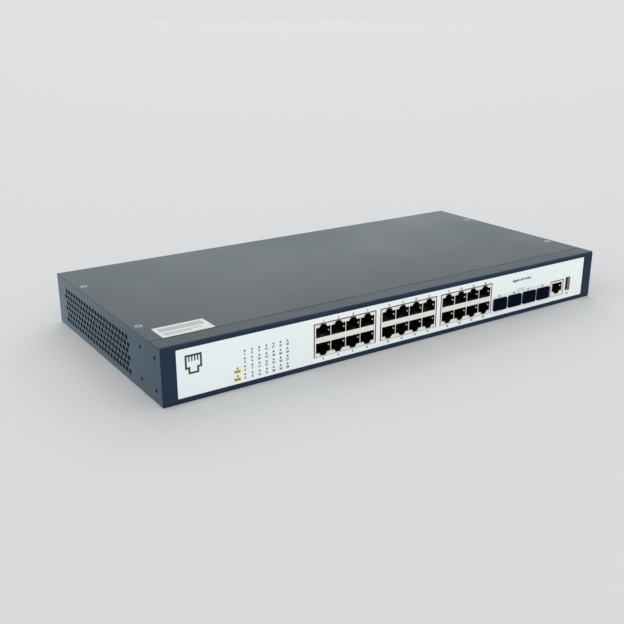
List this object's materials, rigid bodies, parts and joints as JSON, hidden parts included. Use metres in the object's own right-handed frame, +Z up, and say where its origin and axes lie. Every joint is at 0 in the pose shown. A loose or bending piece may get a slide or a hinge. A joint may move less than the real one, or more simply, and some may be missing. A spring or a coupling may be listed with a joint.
{
  "type": "rackmount network switch",
  "caption": "Low flat sheet-metal network switch with two-row copper jack blocks, plugged optical cages, console jack, vented sides and a mains inlet at the rear.",
  "frame": {"origin": "centre of the underside of the casing", "axes": "+X to the right when facing the front, front faces -Y, +Z up"},
  "size_m": [0.44, 0.2161, 0.0437],
  "materials": {
    "black_connector": "moulded nylon",
    "cage_metal": "nickel-plated",
    "capacitor_box": "potted box",
    "capacitor_can": "sleeved can",
    "casing": "fine-textured dark blue-grey powder coat",
    "chip_resin": "moulded epoxy",
    "circuit_board": "green solder mask",
    "dark_fasteners": "black zinc",
    "ferrite": "sintered",
    "gold_contacts": "gold flash",
    "heatsink_metal": "extruded, satin",
    "inlet_plastic": "moulded, fine grain",
    "insulation_film": "translucent polyester film",
    "jack_plastic": "glass-filled nylon",
    "label_film": "satin printed polycarbonate film",
    "led_lens": "smoked clear dome, unlit",
    "paper_sticker": "satin label stock",
    "plated_fasteners": "zinc plated",
    "plated_pins": "nickel-plated brass",
    "plug_rubber": "soft moulded, matt",
    "power_circuit_board": "bare laminate",
    "shield_metal": "tin-plated, satin",
    "transformer_wrap": "polyester tape wrap",
    "usb_plastic": "moulded",
    "white_connector": "moulded nylon",
    "wire_sleeve": "soft vinyl"
  },
  "bodies": {
    "chassis": {"base_tray": "casing", "board_capacitors": "capacitor_can", "board_chips": "chip_resin", "board_inductors": "ferrite", "board_screws": "plated_fasteners", "board_standoffs": "plated_fasteners", "console_contacts": "gold_contacts", "console_housing": "jack_plastic", "console_shield": "shield_metal", "cover_screws": "dark_fasteners", "dc_leads": "wire_sleeve", "earth_nut": "plated_fasteners", "earth_screw": "plated_fasteners", "front_label": "label_film", "front_panel": "casing", "inlet_housing": "inlet_plastic", "inlet_pins": "plated_pins", "inlet_screws": "plated_fasteners", "insulation_sheet": "insulation_film", "led_board": "circuit_board", "led_header": "black_connector", "main_board": "circuit_board", "mains_leads": "wire_sleeve", "phy_heatsinks": "heatsink_metal", "port_leds": "led_lens", "power_board": "power_circuit_board", "power_capacitors": "capacitor_can", "power_choke": "ferrite", "power_headers": "white_connector", "power_heatsink": "heatsink_metal", "power_transformer": "transformer_wrap", "rj45_contacts_1": "gold_contacts", "rj45_contacts_2": "gold_contacts", "rj45_contacts_3": "gold_contacts", "rj45_housing_1": "jack_plastic", "rj45_housing_2": "jack_plastic", "rj45_housing_3": "jack_plastic", "rj45_shield_1": "shield_metal", "rj45_shield_2": "shield_metal", "rj45_shield_3": "shield_metal", "serial_sticker": "paper_sticker", "sfp_cage_1": "cage_metal", "sfp_cage_2": "cage_metal", "sfp_cage_3": "cage_metal", "sfp_cage_4": "cage_metal", "sfp_connectors": "black_connector", "side_panel_left": "casing", "side_panel_right": "casing", "status_leds": "led_lens", "suppression_capacitor": "capacitor_box", "switch_chip": "chip_resin", "switch_heatsink": "heatsink_metal", "top_cover": "casing", "usb_contacts": "gold_contacts", "usb_leaf": "usb_plastic", "usb_shell": "shield_metal"},
    "dust_plug_1": {"dust_plug_1": "plug_rubber"},
    "dust_plug_2": {"dust_plug_2": "plug_rubber"},
    "dust_plug_3": {"dust_plug_3": "plug_rubber"},
    "dust_plug_4": {"dust_plug_4": "plug_rubber"}
  },
  "joints": [
    {"name": "dust_plug_1_pull", "type": "slide", "parent": "chassis", "child": "dust_plug_1", "axis": [0, -1, 0], "range_m": [0, 0.02]},
    {"name": "dust_plug_2_pull", "type": "slide", "parent": "chassis", "child": "dust_plug_2", "axis": [0, -1, 0], "range_m": [0, 0.02]},
    {"name": "dust_plug_3_pull", "type": "slide", "parent": "chassis", "child": "dust_plug_3", "axis": [0, -1, 0], "range_m": [0, 0.02]},
    {"name": "dust_plug_4_pull", "type": "slide", "parent": "chassis", "child": "dust_plug_4", "axis": [0, -1, 0], "range_m": [0, 0.02]}
  ]
}
